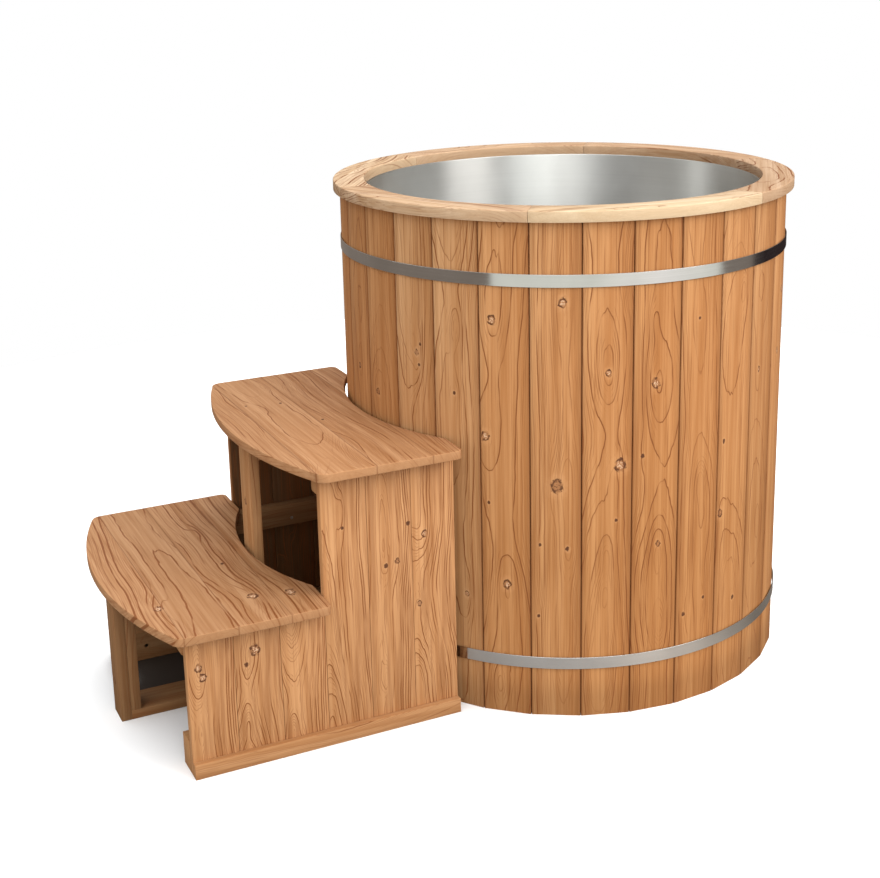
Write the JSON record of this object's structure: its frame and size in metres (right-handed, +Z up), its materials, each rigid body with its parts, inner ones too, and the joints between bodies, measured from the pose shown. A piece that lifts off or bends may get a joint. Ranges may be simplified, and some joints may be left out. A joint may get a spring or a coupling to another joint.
{
  "type": "round cold plunge tub",
  "caption": "Round staved cold plunge tub with a steel liner, a flat wooden rim, hoops, a back drain with a turning valve, and a bow-fronted step unit that stands against it.",
  "frame": {"origin": "on the ground, at the tub's vertical axis, on the underside of the middle bearer", "axes": "+Z up along the tub's axis; the step unit stands on the -X side, square to X"},
  "size_m": [1.573, 1.0933, 1.05],
  "materials": {
    "stave_wood": "satin",
    "rim_wood": "satin",
    "tread_wood": "satin",
    "panel_wood": "satin",
    "frame_wood": "matte",
    "hoop_steel": "satin",
    "liner_steel": "satin",
    "fastener_steel": "satin",
    "valve_brass": "satin",
    "seal_rubber": "matte",
    "sleeve_plastic": "matte"
  },
  "bodies": {
    "tub": {"staves_1": "stave_wood", "staves_2": "stave_wood", "staves_3": "stave_wood", "staves_4": "stave_wood", "staves_5": "stave_wood", "staves_6": "stave_wood", "rim_board_1": "rim_wood", "rim_board_2": "rim_wood", "rim_board_3": "rim_wood", "rim_board_4": "rim_wood", "rim_board_5": "rim_wood", "rim_board_6": "rim_wood", "floor_board_1": "stave_wood", "floor_board_2": "stave_wood", "floor_board_3": "stave_wood", "floor_board_4": "stave_wood", "floor_board_5": "stave_wood", "bearer_1": "frame_wood", "bearer_2": "frame_wood", "bearer_3": "frame_wood", "rim_dowels": "frame_wood", "upper_hoop": "hoop_steel", "lower_hoop": "hoop_steel", "hoop_bolts": "fastener_steel", "hoop_nuts": "fastener_steel", "liner": "liner_steel", "drain_fitting": "valve_brass", "drain_gasket": "seal_rubber", "drain_washer": "seal_rubber", "drain_locknut": "valve_brass", "valve_body": "valve_brass", "valve_end": "valve_brass"},
    "drain_handle": {"valve_ball": "fastener_steel", "valve_stem": "fastener_steel", "valve_lever": "fastener_steel", "lever_sleeve": "sleeve_plastic", "lever_nut": "fastener_steel"},
    "steps": {"lower_tread": "tread_wood", "upper_tread": "tread_wood", "near_boards_low": "panel_wood", "near_boards_high": "panel_wood", "far_boards_low": "panel_wood", "far_boards_high": "panel_wood", "near_skirting": "panel_wood", "far_skirting": "panel_wood", "near_foot_rail": "frame_wood", "far_foot_rail": "frame_wood", "near_low_rail": "frame_wood", "far_low_rail": "frame_wood", "near_high_rail": "frame_wood", "far_high_rail": "frame_wood", "front_leg_facing": "panel_wood", "front_leg": "frame_wood", "middle_foot_rail": "frame_wood", "middle_low_rail": "frame_wood", "tall_leg": "panel_wood", "middle_high_rail": "frame_wood", "rear_leg": "frame_wood", "tread_screws": "fastener_steel", "panel_screws": "fastener_steel"}
  },
  "joints": [
    {"name": "drain_valve_turn", "type": "hinge", "parent": "tub", "child": "drain_handle", "pos_m": [-0.04569, 0.54409, 0.182], "axis": [0, 0, 1], "range_deg": [-90, 0]},
    {"name": "steps_pull_away", "type": "slide", "parent": "tub", "child": "steps", "axis": [-1, 0, 0], "range_m": [0, 0.4]}
  ]
}
